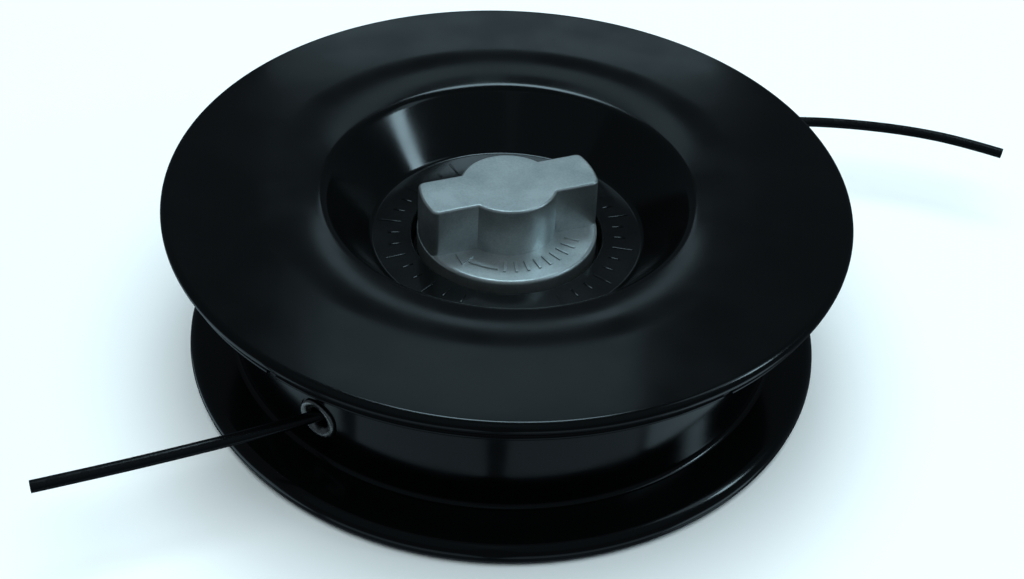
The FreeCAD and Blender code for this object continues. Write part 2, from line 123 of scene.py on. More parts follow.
blackNylon = {
    "colour": "050606",
    "ior": 1.53,
    "roughness": (0.11, 0.17),
    "textureSize": 0.35,        # mm, the tool's fine spark texture
    "textureDepth": 0.0012,     # mm
    "flowSize": 14,             # mm, faint flow marks in the gloss
    "flowSpan": (0.35, 0.65),   # noise values that the gloss runs between
}


def mouldedNylon(values):
    # Glass-filled nylon from a polished and lightly sparked tool: near black, with a soft wide sheen
    # whose gloss drifts a little where the melt flowed
    material, tree, surface, place = startMaterial("mouldedNylon", {
        "Base Color": linear(values["colour"]), "IOR": values["ior"]})
    flow = addNode(tree, "ShaderNodeTexNoise", {"Scale": perMetre(values["flowSize"]), "Detail": 3.0},
                   {"Vector": place})
    texture = addNode(tree, "ShaderNodeTexNoise", {"Scale": perMetre(values["textureSize"]), "Detail": 2.0},
                      {"Vector": place})
    gloss = addNode(tree, "ShaderNodeMapRange", {
        "From Min": values["flowSpan"][0], "From Max": values["flowSpan"][1],
        "To Min": values["roughness"][0], "To Max": values["roughness"][1]},
        {"Value": flow.outputs["Fac"]})
    bump = addNode(tree, "ShaderNodeBump", {"Strength": 1.0, "Distance": values["textureDepth"] * mm},
                   {"Height": texture.outputs["Fac"]})
    tree.links.new(gloss.outputs["Result"], surface.inputs["Roughness"])
    tree.links.new(bump.outputs["Normal"], surface.inputs["Normal"])
    return material


blackLine = {
    "colour": "08090a",
    "ior": 1.53,
    "roughness": (0.2, 0.32),
    "rippleSize": 2.5,          # mm
    "rippleDepth": 0.004,       # mm
}


def extrudedNylon(values):
    # Extruded monofilament: black and glossy, with faint uneven ripples from the draw
    material, tree, surface, place = startMaterial("extrudedNylonLine", {
        "Base Color": linear(values["colour"]), "IOR": values["ior"]})
    ripple = addNode(tree, "ShaderNodeTexNoise", {"Scale": perMetre(values["rippleSize"]), "Detail": 2.0},
                     {"Vector": place})
    gloss = addNode(tree, "ShaderNodeMapRange", {
        "From Min": noiseLow, "From Max": noiseHigh,
        "To Min": values["roughness"][0], "To Max": values["roughness"][1]},
        {"Value": ripple.outputs["Fac"]})
    bump = addNode(tree, "ShaderNodeBump", {"Strength": 1.0, "Distance": values["rippleDepth"] * mm},
                   {"Height": ripple.outputs["Fac"]})
    tree.links.new(gloss.outputs["Result"], surface.inputs["Roughness"])
    tree.links.new(bump.outputs["Normal"], surface.inputs["Normal"])
    return material


castMetal = {
    "light": "e4eaea",
    "dark": "b3bcbe",
    "metallic": 0.92,           # the tumbled skin scatters some light like a matt surface
    "roughness": (0.34, 0.46),
    "grainSize": 0.45,          # mm, tumbling marks, drawn a little coarse so that they show
    "grainDepth": 0.018,        # mm
    "stainSize": 7,             # mm
    "grainShare": 0.5,          # weight of the grain beside the stains
    "toneSpan": (0.45, 0.95),
}


def tumbledAluminium(values):
    # Die-cast aluminium, tumbled with stones: pale grey, fine-grained, with soft darker stains
    material, tree, surface, place = startMaterial("tumbledAluminium", {"Metallic": values["metallic"]})
    grain = addNode(tree, "ShaderNodeTexNoise", {"Scale": perMetre(values["grainSize"]), "Detail": 4.0,
                                                 "Roughness": 0.65}, {"Vector": place})
    stain = addNode(tree, "ShaderNodeTexNoise", {"Scale": perMetre(values["stainSize"]), "Detail": 3.0},
                    {"Vector": place})
    mixed = addNode(tree, "ShaderNodeMath", {"operation": "MULTIPLY_ADD", 1: values["grainShare"]},
                    {0: grain.outputs["Fac"], 2: stain.outputs["Fac"]})
    tone = addNode(tree, "ShaderNodeValToRGB", links={"Fac": mixed.outputs["Value"]})
    tone.color_ramp.elements[0].position = values["toneSpan"][0]
    tone.color_ramp.elements[0].color = linear(values["dark"])
    tone.color_ramp.elements[1].position = values["toneSpan"][1]
    tone.color_ramp.elements[1].color = linear(values["light"])
    gloss = addNode(tree, "ShaderNodeMapRange", {
        "From Min": noiseLow, "From Max": noiseHigh,
        "To Min": values["roughness"][1], "To Max": values["roughness"][0]},
        {"Value": grain.outputs["Fac"]})
    bump = addNode(tree, "ShaderNodeBump", {"Strength": 1.0, "Distance": values["grainDepth"] * mm},
                   {"Height": grain.outputs["Fac"]})
    tree.links.new(tone.outputs["Color"], surface.inputs["Base Color"])
    tree.links.new(gloss.outputs["Result"], surface.inputs["Roughness"])
    tree.links.new(bump.outputs["Normal"], surface.inputs["Normal"])
    return material


# name: light tone, dark tone, roughness from and to, grain in mm, grain depth in mm
steels = {
    "satinNickel": ("cdccc8", "aeaeaa", 0.22, 0.34, 0.3, 0.002),
    "zincPlate": ("c3c8cc", "999fa4", 0.28, 0.42, 0.5, 0.004),
    "oiledSpringSteel": ("8b8b8a", "5a5a5a", 0.25, 0.45, 0.6, 0.004),
}
steelToneSpan = (0.3, 0.65)


def platedSteel(name, values):
    # Plated or oiled steel: a metal with a fine, slightly cloudy satin
    light, dark, smooth, rough, grainSize, grainDepth = values
    material, tree, surface, place = startMaterial(name, {"Metallic": 1.0})
    grain = addNode(tree, "ShaderNodeTexNoise", {"Scale": perMetre(grainSize), "Detail": 3.0},
                    {"Vector": place})
    tone = addNode(tree, "ShaderNodeValToRGB", links={"Fac": grain.outputs["Fac"]})
    tone.color_ramp.elements[0].position = steelToneSpan[0]
    tone.color_ramp.elements[0].color = linear(dark)
    tone.color_ramp.elements[1].position = steelToneSpan[1]
    tone.color_ramp.elements[1].color = linear(light)
    gloss = addNode(tree, "ShaderNodeMapRange", {
        "From Min": noiseLow, "From Max": noiseHigh, "To Min": rough, "To Max": smooth},
        {"Value": grain.outputs["Fac"]})
    bump = addNode(tree, "ShaderNodeBump", {"Strength": 1.0, "Distance": grainDepth * mm},
                   {"Height": grain.outputs["Fac"]})
    tree.links.new(tone.outputs["Color"], surface.inputs["Base Color"])
    tree.links.new(gloss.outputs["Result"], surface.inputs["Roughness"])
    tree.links.new(bump.outputs["Normal"], surface.inputs["Normal"])
    return material


nylonFinish = mouldedNylon(blackNylon)
lineFinish = extrudedNylon(blackLine)
castFinish = tumbledAluminium(castMetal)
steelFinish = {name: platedSteel(name, values) for name, values in steels.items()}
print("stage: materials")


# cutting line

cuttingLine = {
    "diameter": 2.4,
    "azimuth": {"front": -36, "rear": 144},
    "height": 16.4,
    "centre": 56.6,             # from the head's axis to the middle of an eyelet
    "mouth": 58.8,              # and to the eyelet's outer face
    "straight": 16,             # straight run just inside each eyelet
    "tangent": 31.05,           # radius at which the line leaves the wound turns
    "length": {"front": 54.5, "rear": 92.3},
    "alongSteps": 16,
    "roundSteps": 7,
    "route": {
        "front": [(0, 0, 0), (-7.1, -3.6, 0), (-17.1, -8.2, 0), (-28.2, -12.9, 0), (-39.3, -17.4, 0),
                  (-50.0, -21.5, 0)],
        "rear": [(0, 0, 0), (6.5, 5.5, 0), (15.7, 11.5, 0), (27.5, 15.6, 0), (40.4, 17.0, 0),
                 (53.4, 16.5, 0), (65.8, 14.7, 0), (77.3, 11.2, 0), (86.2, 6.7, 0)],
    },
}


def makeLine(name, places, node, body):
    curve = bpy.data.curves.new(name, "CURVE")
    curve.dimensions = "3D"
    curve.resolution_u = cuttingLine["alongSteps"]
    curve.bevel_depth = cuttingLine["diameter"] * mm / 2
    curve.bevel_resolution = cuttingLine["roundSteps"]
    curve.use_fill_caps = True
    spline = curve.splines.new("NURBS")
    spline.points.add(len(places) - 1)
    for point, place in zip(spline.points, places):
        point.co = (*place, 1)
    spline.use_endpoint_u = True
    spline.order_u = 3
    curve.materials.append(lineFinish)
    line = bpy.data.objects.new(name, curve)
    bpy.context.scene.collection.objects.link(line)
    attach(line, body)
    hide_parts(node)
    return line


def runLine(side):
    azimuth = cuttingLine["azimuth"][side]
    centre = azimuthPlace(cuttingLine["centre"], azimuth, cuttingLine["height"])
    tailRoute = [centre + Vector(step) * mm for step in cuttingLine["route"][side]]
    tail = makeLine(side + "LineTail", tailRoute, "line_tail_" + side, "housing")
    heading = (tailRoute[1] - tailRoute[0]).normalized()
    bend = centre - heading * cuttingLine["straight"] * mm
    tangent = cuttingLine["tangent"] * mm
    angle = math.atan2(bend.y, bend.x) + math.acos(tangent / math.hypot(bend.x, bend.y))
    start = Vector((tangent * math.cos(angle), tangent * math.sin(angle), centre.z))
    makeLine(side + "LineLead", [start, bend, centre], "line_lead_" + side, "housing")


runLine("front")
runLine("rear")

windings = {
    "lower": 11.1,              # mm, height of the lowest turns' underside
    "upper": 18.6,
    "innerRadius": 22.35,
    "layers": 3,
    "rows": 2,
    "pointsPerTurn": 24,
    "stepShare": 0.2,           # share of a turn in which the line steps to its next seat
}


def windLine(name, bottom, node):
    # turns lie side by side, then step out to the next layer; each step takes the last part of a turn
    count = windings["pointsPerTurn"]
    spread = 1 / math.cos(math.pi / count)    # puts the smooth curve on the turn's true radius
    wire = cuttingLine["diameter"]
    stepShare = windings["stepShare"]
    seats = []
    for layer in range(windings["layers"]):
        rows = list(range(windings["rows"]))
        for row in rows if layer % 2 == 0 else reversed(rows):
            seats.append((windings["innerRadius"] + wire * (layer + 0.5), bottom + wire * (row + 0.5)))
    places = []
    for turn, (radius, height) in enumerate(seats):
        following = seats[min(turn + 1, len(seats) - 1)]
        for index in range(count):
            share = max(0, (index / count - (1 - stepShare)) / stepShare)
            r = (radius + (following[0] - radius) * share) * spread
            z = height + (following[1] - height) * share
            angle = 2 * math.pi * index / count
            places.append(Vector((r * math.cos(angle), r * math.sin(angle), z)) * mm)
    makeLine(name, places, node, "reel")


windLine("lowerWinding", windings["lower"], "line_winding_lower")
windLine("upperWinding", windings["upper"], "line_winding_upper")
print("stage: cutting line")


# shared shaping

arcStep = math.radians(9)           # longest steps round a fillet, as an angle and as a length
arcLength = 1.0 * mm
runLength = 2.5 * mm                # longest step along a straight run
weldReach = 1e-7                    # metres


def filletArc(before, corner, after, fillet):
    # where the fillet of a corner starts, its centre and the angle it turns
    back = (before - corner).normalized()
    ahead = (after - corner).normalized()
    half = back.angle(ahead) / 2
    entry = corner + back * (fillet / math.tan(half))
    leave = corner + ahead * (fillet / math.tan(half))
    centre = corner + (back + ahead).normalized() * (fillet / math.sin(half))
    turn = math.pi - 2 * half
    if (entry - centre).cross(leave - centre).y < 0:
        turn = -turn
    return entry, centre, turn


def traceOutline(bm, corners, closed=True):
    # corners are radius, height and, where the edge is rounded, a fillet, in mm
    places = [Vector((corner[0], 0, corner[1])) * mm for corner in corners]
    ends = []
    for index, corner in enumerate(corners):
        if len(corner) == 2:
            vertex = bm.verts.new(places[index])
            ends.append((vertex, vertex))
            continue
        after = places[(index + 1) % len(places)]
        entry, centre, turn = filletArc(places[index - 1], places[index], after, corner[2] * mm)
        steps = max(2, math.ceil(abs(turn) / arcStep), math.ceil(abs(turn) * corner[2] * mm / arcLength))
        start = bm.verts.new(entry)
        arc = bmesh.ops.spin(bm, geom=[start], cent=centre, axis=(0, 1, 0), angle=turn, steps=steps)
        ends.append((start, [item for item in arc["geom_last"] if isinstance(item, bmesh.types.BMVert)][0]))
    for index in range(len(ends) if closed else len(ends) - 1):
        leave, entry = ends[index][1], ends[(index + 1) % len(ends)][0]
        run = entry.co - leave.co
        if run.length > weldReach:
            steps = math.ceil(run.length / runLength)
            bmesh.ops.spin(bm, geom=[leave], cent=(0, 0, 0), axis=(0, 1, 0), dvec=run / steps, angle=0,
                           steps=steps)
    bmesh.ops.remove_doubles(bm, verts=bm.verts[:], dist=weldReach)


def turnedShape(corners, steps, closed=True):
    # the outline swept once round the axis
    bm = bmesh.new()
    traceOutline(bm, corners, closed)
    bmesh.ops.spin(bm, geom=bm.verts[:] + bm.edges[:], cent=(0, 0, 0), axis=upAxis, angle=2 * math.pi,
                   steps=steps, use_merge=True)
    bmesh.ops.remove_doubles(bm, verts=bm.verts[:], dist=weldReach)
    bmesh.ops.recalc_face_normals(bm, faces=bm.faces[:])
    return bm


def blockShape(low, high, bevel=0):
    # a block between two corners, in mm, with its edges rounded
    bm = bmesh.new()
    bmesh.ops.create_cube(bm, size=1)
    low, high = Vector(low) * mm, Vector(high) * mm
    bmesh.ops.scale(bm, vec=high - low, verts=bm.verts[:])
    bmesh.ops.translate(bm, vec=(low + high) / 2, verts=bm.verts[:])
    if bevel:
        bmesh.ops.bevel(bm, geom=bm.edges[:], offset=bevel * mm, affect="EDGES", segments=2, profile=0.5,
                        material=-1)
    return bm


def sectorShape(inner, outer, bottom, top, sweep, steps, bevel=0):
    # a block bent round the axis, centred on +X, in mm and degrees
    bm = bmesh.new()
    section = [bm.verts.new(Vector(place) * mm) for place in
               ((inner, 0, bottom), (outer, 0, bottom), (outer, 0, top), (inner, 0, top))]
    face = bm.faces.new(section)
    half = math.radians(sweep) / 2
    bmesh.ops.rotate(bm, verts=bm.verts[:], cent=(0, 0, 0), matrix=Matrix.Rotation(-half, 3, "Z"))
    bmesh.ops.spin(bm, geom=[face], cent=(0, 0, 0), axis=upAxis, angle=2 * half, steps=steps)
    bmesh.ops.recalc_face_normals(bm, faces=bm.faces[:])
    if bevel:
        edges = [edge for edge in bm.edges if edge.is_manifold and edge.calc_face_angle() > math.radians(40)]
        bmesh.ops.bevel(bm, geom=edges, offset=bevel * mm, affect="EDGES", segments=2, profile=0.5,
                        material=-1)
    return bm


def hexagonShape(acrossFlats, length):
    # a hexagonal prism centred on the origin, in mm
    bm = bmesh.new()
    radius = acrossFlats / math.sqrt(3) * mm
    bmesh.ops.create_cone(bm, cap_ends=True, segments=6, radius1=radius, radius2=radius, depth=length * mm)
    return bm


def copyAround(shape, angles):
    # copies of a shape turned about Z, in degrees, joined in one bmesh
    mesh = bpy.data.meshes.new("copySource")
    shape.to_mesh(mesh)
    shape.free()
    joined = bmesh.new()
    for angle in angles:
        before = len(joined.verts)
        joined.from_mesh(mesh)
        joined.verts.ensure_lookup_table()
        bmesh.ops.rotate(joined, verts=joined.verts[before:], cent=(0, 0, 0),
                         matrix=Matrix.Rotation(math.radians(angle), 3, "Z"))
    bpy.data.meshes.remove(mesh)
    return joined


def scratchObject(shape, name):
    mesh = bpy.data.meshes.new(name)
    shape.to_mesh(mesh)
    shape.free()
    thing = bpy.data.objects.new(name, mesh)
    bpy.context.scene.collection.objects.link(thing)
    return thing


def applied(thing):
    # the object's mesh with its modifiers applied, as a bmesh; the object is removed
    graph = bpy.context.evaluated_depsgraph_get()
    mesh = bpy.data.meshes.new_from_object(thing.evaluated_get(graph))
    shape = bmesh.new()
    shape.from_mesh(mesh)
    bpy.data.meshes.remove(mesh)
    dropObject(thing)
    return shape


def dropObject(thing):
    mesh = thing.data
    bpy.data.objects.remove(thing)
    bpy.data.meshes.remove(mesh)


def combined(shape, tools):
    # tools are pairs of an operation and a bmesh
    base = scratchObject(shape, "combineBase")
    toolObjects = []
    for operation, tool in tools:
        toolObject = scratchObject(tool, "combineTool")
        toolObjects.append(toolObject)
        modifier = base.modifiers.new("combine", "BOOLEAN")
        modifier.operation = operation
        modifier.solver = "EXACT"
        modifier.object = toolObject
    result = applied(base)
    for toolObject in toolObjects:
        dropObject(toolObject)
    bmesh.ops.remove_doubles(result, verts=result.verts[:], dist=weldReach)
    return result


def finishPiece(shape, name, material, body, node=None, sharpAngle=32):
    for face in shape.faces:
        face.smooth = True
    for edge in shape.edges:
        if edge.is_manifold and edge.calc_face_angle() > math.radians(sharpAngle):
            edge.smooth = False
    mesh = bpy.data.meshes.new(name)
    shape.to_mesh(mesh)
    shape.free()
    mesh.materials.append(material)
    piece = bpy.data.objects.new(name, mesh)
    bpy.context.scene.collection.objects.link(piece)
    weighted = piece.modifiers.new("weightedNormals", "WEIGHTED_NORMAL")
    weighted.keep_sharp = True
    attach(piece, body)
    if node:
        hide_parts(node)
    print("piece:", name, len(mesh.polygons), "faces")


def alongAzimuth(shape, azimuth, height):
    # lays a shape made about Z along a level line out of the head's axis
    bmesh.ops.rotate(shape, verts=shape.verts[:], cent=(0, 0, 0), matrix=Matrix.Rotation(math.pi / 2, 3, "X"))
    bmesh.ops.rotate(shape, verts=shape.verts[:], cent=(0, 0, 0),
                     matrix=Matrix.Rotation(math.radians(azimuth), 3, "Z"))
    bmesh.ops.translate(shape, vec=(0, 0, height * mm), verts=shape.verts[:])
    return shape


# housing: drum with its two flanges

drum = {
    "flangeRadius": 67.8,       # lower flange
    "thinFlangeRadius": 68.9,   # upper flange, just under the cover
    "radius": 58.2,
    "innerRadius": 55,
    "thinFlangeTop": 36.6,
    "thinFlangeEdge": 1.5,
    "thinFlangeFall": 0.4,      # how much lower its underside is at the drum
    "thinFlangeRoot": 2.6,      # fillets where the flanges meet the drum
    "flangeRoot": 1.2,
    "flangeRootHeight": 6.2,
    "rimThickness": 5,
    "flash": (0.12, 0.09),      # half height and how proud the parting line stands
    "footInner": 55.5,
    "webBottom": 3,
    "webTop": 6,
    "hubBore": 8.05,
    "hubRadius": 17,
    "hubBottom": 0.6,
    "hubTop": 9.2,
    "hubEdge": 0.8,
    "pocket": (22.1, 6.2),      # for the arbor's head: across flats, depth from the stand's level
    "ribs": 12,
    "rib": ((16, -0.9, 0.8), (56.5, 0.9, 4), 0.25),    # two corners and the rounding
    "teeth": 12,
    "tooth": (40, 48, 5, 8.4, 12.5, 4, 0.3),    # radii, bottom, top, sweep in degrees, steps, rounding
    # radius round the eyelet's own axis, distance from the head's axis
    "eyeletHole": [(0, 50), (3.65, 50), (3.65, 57.75), (4.6, 57.75), (4.6, 61), (0, 61)],
    "eyeletHoleSteps": 96,
    "notch": ((-1.1, -70, 34), (1.1, -68, 38)),    # in the upper flange's rim
    "notchAngles": (-36, 36, 144, 216),
    "steps": 288,
}


def shapeHousing():
    d = drum
    top = d["thinFlangeTop"]
    edgeBottom = top - d["thinFlangeEdge"]
    rim = d["flangeRadius"]
    middle = d["rimThickness"] / 2
    flashHalf, flashProud = d["flash"]
    rimFillet = middle - flashHalf - 0.02    # a hair less than the room beside the parting line
    body = turnedShape([
        (d["hubBore"], d["hubBottom"]), (d["hubRadius"], d["hubBottom"], d["hubEdge"]),
        (d["hubRadius"], d["webBottom"], d["hubEdge"]), (d["footInner"], d["webBottom"], 1.5),
        (d["footInner"], 0, 0.6), (rim, 0, rimFillet), (rim, middle - flashHalf),
        (rim + flashProud, middle), (rim, middle + flashHalf), (rim, d["rimThickness"], rimFillet - 0.05),
        (d["radius"], d["flangeRootHeight"], d["flangeRoot"]),
        (d["radius"], edgeBottom - d["thinFlangeFall"], d["thinFlangeRoot"]),
        (d["thinFlangeRadius"], edgeBottom, 0.7), (d["thinFlangeRadius"], top, 0.7),
        (d["innerRadius"], top, 0.8), (d["innerRadius"], d["webTop"], 1.5),
        (d["hubRadius"], d["webTop"], d["hubEdge"]), (d["hubRadius"], d["hubTop"], d["hubEdge"]),
        (d["hubBore"], d["hubTop"]),
    ], d["steps"])
    ribs = copyAround(blockShape(*d["rib"]), [360 / d["ribs"] * index for index in range(d["ribs"])])
    teeth = copyAround(sectorShape(*d["tooth"]), [360 / d["teeth"] * index for index in range(d["teeth"])])
    pocketAcross, pocketDepth = d["pocket"]
    tools = [("UNION", ribs), ("UNION", teeth), ("DIFFERENCE", hexagonShape(pocketAcross, 2 * pocketDepth))]
    for azimuth in cuttingLine["azimuth"].values():
        cutter = turnedShape(d["eyeletHole"], d["eyeletHoleSteps"], closed=False)
        tools.append(("DIFFERENCE", alongAzimuth(cutter, azimuth, cuttingLine["height"])))
    tools.append(("DIFFERENCE", copyAround(blockShape(*d["notch"]), d["notchAngles"])))
    finishPiece(combined(body, tools), "drumMoulding", nylonFinish, "housing", "housing")


shapeHousing()
print("stage: housing")


# cover: top flange and bowl

coverShape = {
    "radius": 70,
    "top": 40,
    "underside": 37,
    "wall": 2.8,
    "floor": 26.7,
    "floorRadius": 28.6,
    "wallSlope": 52,            # degrees from level
    "wallFillet": 3.5,
    "shoulderRadius": 45.7,
    "shoulderSlope": 12,
    "shoulderFillet": 60,
    "wellRadius": 20.05,
    "collar": (52, 54.4, 31.5),    # ring that centres the cover in the drum: radii and underside
    "lug": (20.1, 22.15, 21.75, 24.9, 16, 6, 0.2),    # radii, bottom, top, sweep, steps, rounding
    "lugAngles": (45, 135, 225, 315),
    "steps": 320,
}


def meetingPoint(radiusOne, heightOne, slopeOne, radiusTwo, heightTwo, slopeTwo):
    # radius and height where two sloping lines of the section cross
    riseOne, riseTwo = math.tan(math.radians(slopeOne)), math.tan(math.radians(slopeTwo))
    radius = (heightTwo - heightOne + riseOne * radiusOne - riseTwo * radiusTwo) / (riseOne - riseTwo)
    return radius, heightOne + riseOne * (radius - radiusOne)


def shapeCover():
    c = coverShape
    slope = math.radians(c["wallSlope"])
    outerRadius = c["floorRadius"] + c["wall"] * math.sin(slope)
    outerHeight = c["floor"] - c["wall"] * math.cos(slope)
    flangeUnderside = c["top"] - c["wall"]
    floorUnderside = c["floor"] - c["wall"]
    innerShoulder = c["shoulderRadius"] + c["wall"] * math.tan(math.radians(c["shoulderSlope"]) / 2)
    edge = meetingPoint(c["shoulderRadius"], c["top"], c["shoulderSlope"],
                        c["floorRadius"], c["floor"], c["wallSlope"])
    innerEdge = meetingPoint(innerShoulder, flangeUnderside, c["shoulderSlope"],
                             outerRadius, outerHeight, c["wallSlope"])
    floorCorner = meetingPoint(0, floorUnderside, 0, outerRadius, outerHeight, c["wallSlope"])
    collarInner, collarOuter, collarBottom = c["collar"]
    body = turnedShape([
        (c["wellRadius"], c["floor"], 0.4), (c["floorRadius"], c["floor"], 1.5),
        (*edge, c["wallFillet"]), (c["shoulderRadius"], c["top"], c["shoulderFillet"]),
        (c["radius"], c["top"], 1.3), (c["radius"], c["underside"], 1.5),
        (collarOuter, c["underside"], 0.4), (collarOuter, collarBottom, 0.5),
        (collarInner, collarBottom, 0.5), (collarInner, flangeUnderside),
        (innerShoulder, flangeUnderside), (*innerEdge, 1.75), (*floorCorner, 1.5),
        (c["wellRadius"], floorUnderside),
    ], c["steps"])
    shape = combined(body, [("UNION", copyAround(sectorShape(*c["lug"]), c["lugAngles"]))])
    finishPiece(shape, "coverMoulding", nylonFinish, "reel", "cover")


shapeCover()

# raised marks on the bowl's floor: plain graduations, azimuths in degrees, sizes in mm
floorMarks = {
    "groups": [(-150, -20, 15), (28, 150, 15)],    # first and last azimuth, number of marks
    "longEvery": 3,
    "inner": 22.4,
    "longMark": 4.4,
    "shortMark": 2.6,
    "width": 0.45,
    "height": 0.14,
    "sunk": 0.1,
    "edge": 0.12,
}


def shapeFloorMarks():
    m = floorMarks
    base = coverShape["floor"]
    joined = bmesh.new()
    for first, last, count in m["groups"]:
        for index in range(count):
            length = m["longMark"] if index % m["longEvery"] == 0 else m["shortMark"]
            mark = blockShape((m["inner"], -m["width"] / 2, base - m["sunk"]),
                              (m["inner"] + length, m["width"] / 2, base + m["height"]), m["edge"])
            azimuth = first + (last - first) * index / (count - 1)
            turned = copyAround(mark, [azimuth - 90])
            mesh = bpy.data.meshes.new("mark")
            turned.to_mesh(mesh)
            turned.free()
            joined.from_mesh(mesh)
            bpy.data.meshes.remove(mesh)
    finishPiece(joined, "floorGraduations", nylonFinish, "reel")


shapeFloorMarks()
print("stage: cover")


# eyelets

eyelet = {
    "outerFace": 58.8,
    "innerEnd": 54.2,
    "lipRadius": 4.25,
    "lip": 1.0,
    "sleeveRadius": 3.6,
    "boreRadius": 2.2,
    "flareRadius": 3.2,         # at the inner end
    "landStart": 56,            # where the flare ends in the bore
    "mouthRoll": 1.5,           # radius of the lip where it rolls into the bore
    "lipEdge": 0.45,
    "steps": 96,
}


def shapeEyelet(side):
    e = eyelet
    shape = turnedShape([
        (e["flareRadius"], e["innerEnd"], 0.12), (e["boreRadius"], e["landStart"], 0.5),
        (e["boreRadius"], e["outerFace"], e["mouthRoll"]), (e["lipRadius"], e["outerFace"], e["lipEdge"]),
        (e["lipRadius"], e["outerFace"] - e["lip"], 0.1), (e["sleeveRadius"], e["outerFace"] - e["lip"]),
        (e["sleeveRadius"], e["innerEnd"], 0.12),
    ], e["steps"])
    alongAzimuth(shape, cuttingLine["azimuth"][side], cuttingLine["height"])
    finishPiece(shape, side + "Eyelet", steelFinish["satinNickel"], "housing", "eyelet_" + side)


shapeEyelet("front")
shapeEyelet("rear")
print("stage: eyelets")


# knob

knob = {
    "radius": 18.9,
    "underside": 22.95,
    "undersideEdge": 0.5,
    "discTop": 28.4,
    "discSteps": 192,
    "top": 39.3,
    "halfWidth": 5.55,          # of a wing
    "endRadius": 18.8,          # of the wings' ends, round the knob's axis
    "endSteps": 7,
    "bossRadius": 10.2,
    "bossSteps": 36,
    "edge": 0.55,
    "rim": 0.75,                # rounding of the disc's upper edge
    "cornerRadius": 1.1,
    "draft": 0.012,             # share by which the grip narrows towards its top
    "root": 2,                  # how far the grip starts below the disc's top
    "angle": 21.7,
    "socket": (14, 11.1),       # for the insert: across flats, depth
    "room": (5.5, 2.1, 48),     # for the stud: radius, metal left above it, steps
    "relief": (12.5, 16.6, 2.2, 96),    # ring groove in the underside: radii, depth, steps
    "markHeight": 0.34,
    "markRoot": 0.5,
    "bars": (-112, -38, 9),     # first and last angle, number of plain bars
    "barReach": (12.5, 15.7),
    "barWidth": 0.62,
    "barEdge": 0.1,
    "arrow": (-153, -141, -118),    # angles of its tip, the back of its head and the end of its shaft
    "arrowRadius": 14.7,
    "arrowHead": 2.1,
    "shaftWidth": 0.8,
    "shaftSteps": 6,
}
below = 1                       # mm by which a cutter starts outside the piece


def gripShape():
    # outline of the boss and the two wings, from arcs swept round the axis, then raised and rounded
    k = knob
    bm = bmesh.new()
    rootHeight = k["discTop"] - k["root"]
    endHalf = math.asin(k["halfWidth"] / k["endRadius"])
    bossHalf = math.asin(k["halfWidth"] / k["bossRadius"])
    arcs = [(k["endRadius"], -endHalf, endHalf, k["endSteps"]),
            (k["bossRadius"], bossHalf, math.pi - bossHalf, k["bossSteps"]),
            (k["endRadius"], math.pi - endHalf, math.pi + endHalf, k["endSteps"]),
            (k["bossRadius"], math.pi + bossHalf, 2 * math.pi - bossHalf, k["bossSteps"])]
    ends = []
    for radius, first, last, steps in arcs:
        start = bm.verts.new(Vector((radius * math.cos(first), radius * math.sin(first), rootHeight)) * mm)
        arc = bmesh.ops.spin(bm, geom=[start], cent=(0, 0, 0), axis=upAxis, angle=last - first, steps=steps)
        ends.append((start, [item for item in arc["geom_last"] if isinstance(item, bmesh.types.BMVert)][0]))
    for index, (start, last) in enumerate(ends):
        bm.edges.new((last, ends[(index + 1) % len(ends)][0]))
    corners = [vertex for pair in ends[::2] for vertex in pair]    # the wings' outer corners only
    bmesh.ops.bevel(bm, geom=corners, offset=k["cornerRadius"] * mm, affect="VERTICES", segments=4,
                    profile=0.5, material=-1)
    face = bmesh.ops.contextual_create(bm, geom=bm.edges[:])["faces"]
    raised = bmesh.ops.extrude_face_region(bm, geom=face)["geom"]
    lifted = [item for item in raised if isinstance(item, bmesh.types.BMVert)]
    bmesh.ops.translate(bm, vec=(0, 0, (k["top"] - k["discTop"] + k["root"]) * mm), verts=lifted)
    narrow = 1 - k["draft"]
    bmesh.ops.scale(bm, vec=(narrow, narrow, 1), verts=lifted)
    bmesh.ops.recalc_face_normals(bm, faces=bm.faces[:])
    topHeight = k["top"] * mm
    rim = [edge for edge in bm.edges
           if all(abs(vertex.co.z - topHeight) < weldReach for vertex in edge.verts)]
    bmesh.ops.bevel(bm, geom=rim, offset=k["edge"] * mm, affect="EDGES", segments=4, profile=0.5, material=-1)
    return bm


def knobMarks():
    # a raised arrow and a row of plain bars on the near part of the disc
    k = knob
    low, high = k["discTop"] - k["markRoot"], k["discTop"] + k["markHeight"]
    first, last, count = k["bars"]
    barAngles = [first + (last - first) * index / (count - 1) for index in range(count)]
    barInner, barOuter = k["barReach"]
    bar = blockShape((barInner, -k["barWidth"] / 2, low), (barOuter, k["barWidth"] / 2, high), k["barEdge"])
    tip, back, end = k["arrow"]
    half = k["shaftWidth"] / 2
    shaft = sectorShape(k["arrowRadius"] - half, k["arrowRadius"] + half, low, high, end - back + 1,
                        k["shaftSteps"])
    head = bmesh.new()
    bmesh.ops.create_cone(head, cap_ends=True, segments=3, radius1=k["arrowHead"] * mm,
                          radius2=k["arrowHead"] * mm, depth=(high - low) * mm)
    bmesh.ops.rotate(head, verts=head.verts[:], cent=(0, 0, 0), matrix=Matrix.Rotation(math.pi, 3, "Z"))
    bmesh.ops.translate(head, vec=Vector((k["arrowRadius"], 0, (low + high) / 2)) * mm, verts=head.verts[:])
    return [copyAround(bar, barAngles), copyAround(shaft, [(back + end) / 2]),
            copyAround(head, [(tip + back) / 2])]


